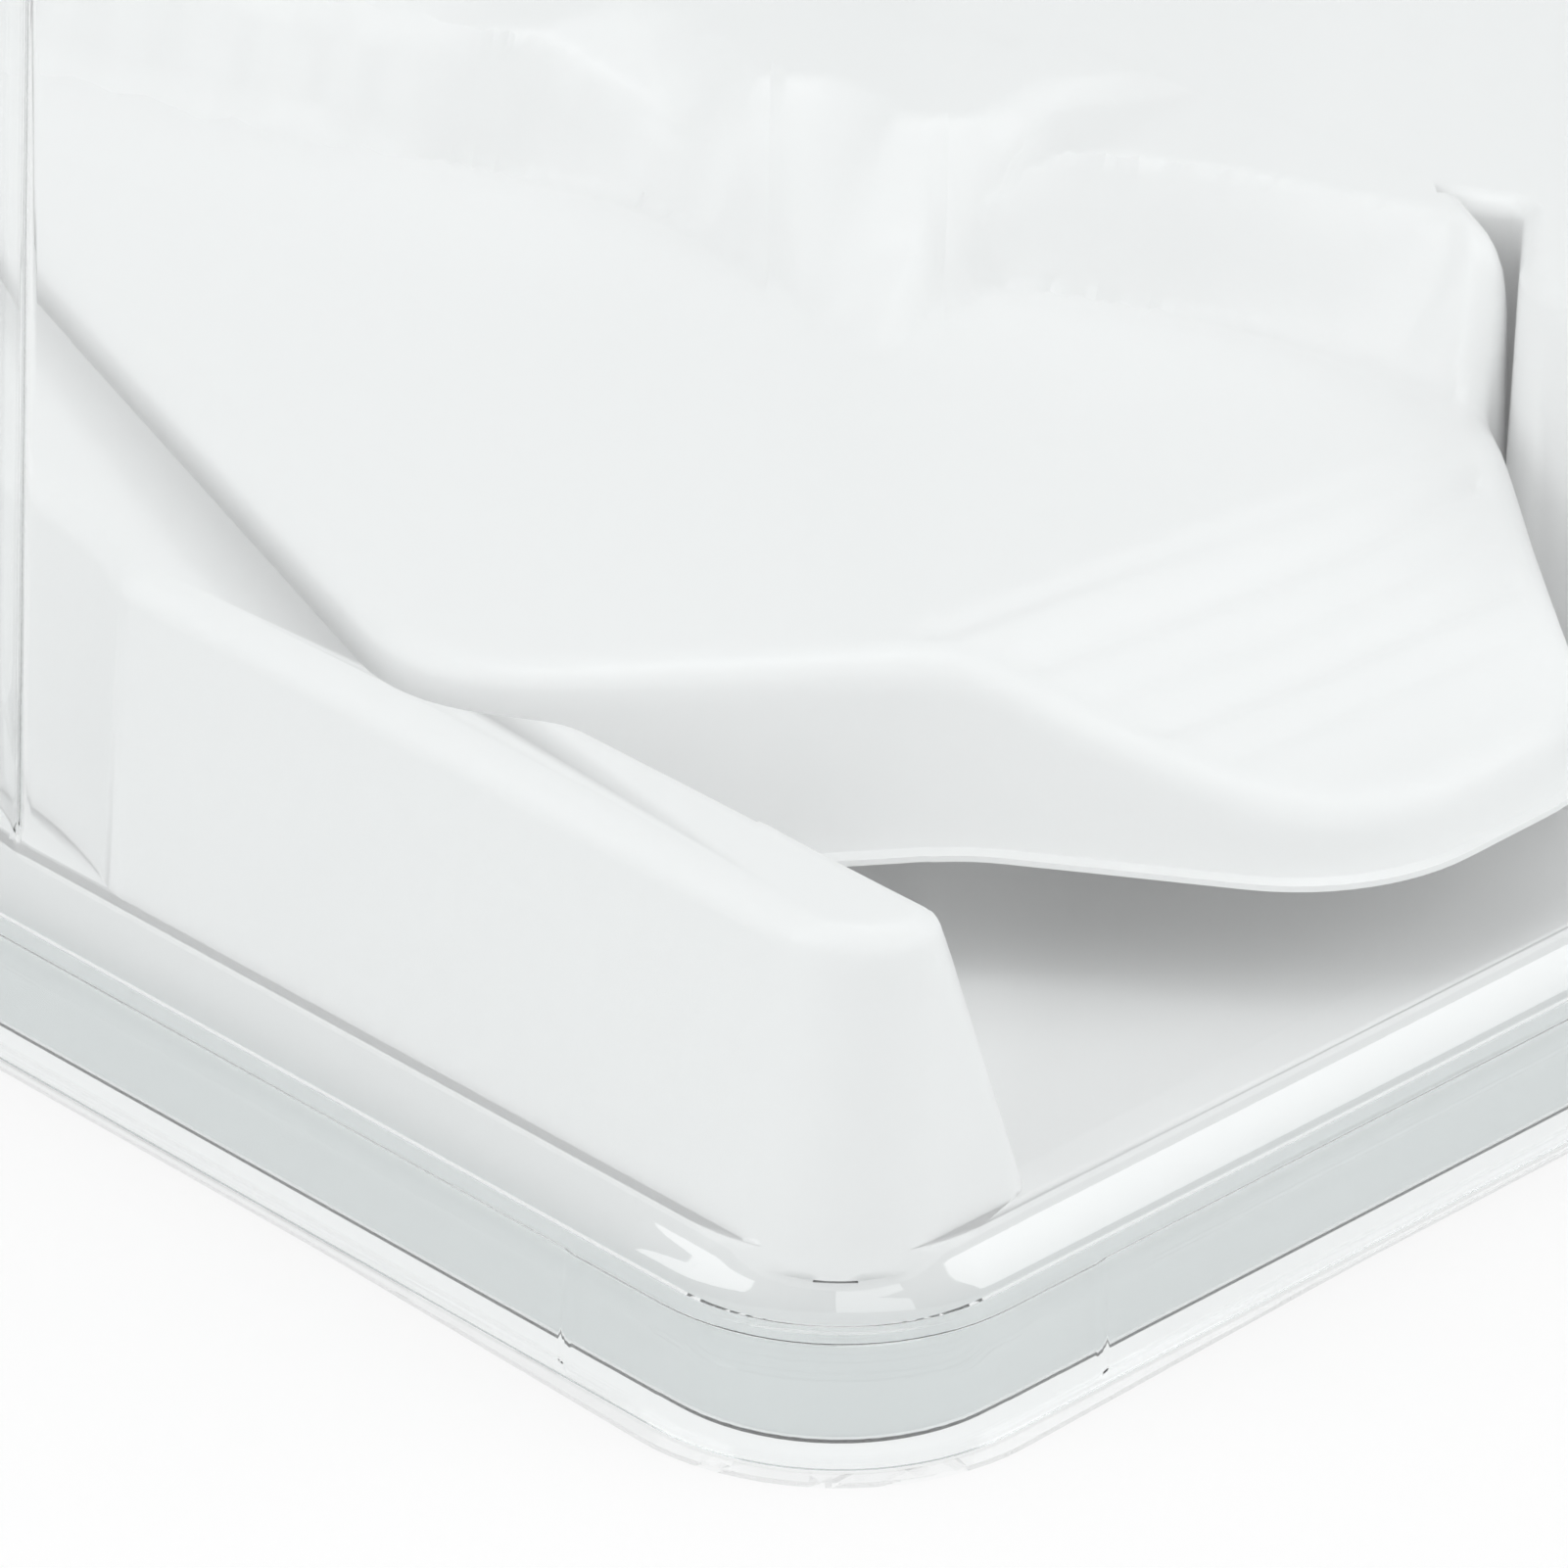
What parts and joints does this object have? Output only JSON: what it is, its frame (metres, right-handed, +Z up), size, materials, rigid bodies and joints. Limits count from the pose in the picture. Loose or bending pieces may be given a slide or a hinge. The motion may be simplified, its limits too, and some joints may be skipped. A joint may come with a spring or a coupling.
{
  "type": "plastic clamshell pack",
  "caption": "Tall clear plastic clamshell pack with a hinged cover over a white formed tray and a white formed cradle with a ribbed ramp",
  "frame": {"origin": "middle of the pack's underside, on the table", "axes": "+X along the pack towards its right end, +Y from front to back, +Z up"},
  "size_m": [0.2432, 0.1932, 0.152],
  "materials": {
    "clear_sheet": "clear PET sheet, thermoformed, glossy",
    "white_sheet": "white polystyrene sheet, thermoformed, satin gloss"
  },
  "bodies": {
    "base": {"clear_base": "clear_sheet", "white_tray": "white_sheet", "white_cradle": "white_sheet"},
    "lid": {"clear_lid": "clear_sheet"}
  },
  "joints": [
    {"name": "lid_hinge", "type": "hinge", "parent": "base", "child": "lid", "pos_m": [0, 0.0955, 0.0006], "axis": [-1, 0, 0], "range_deg": [0, 90]}
  ]
}
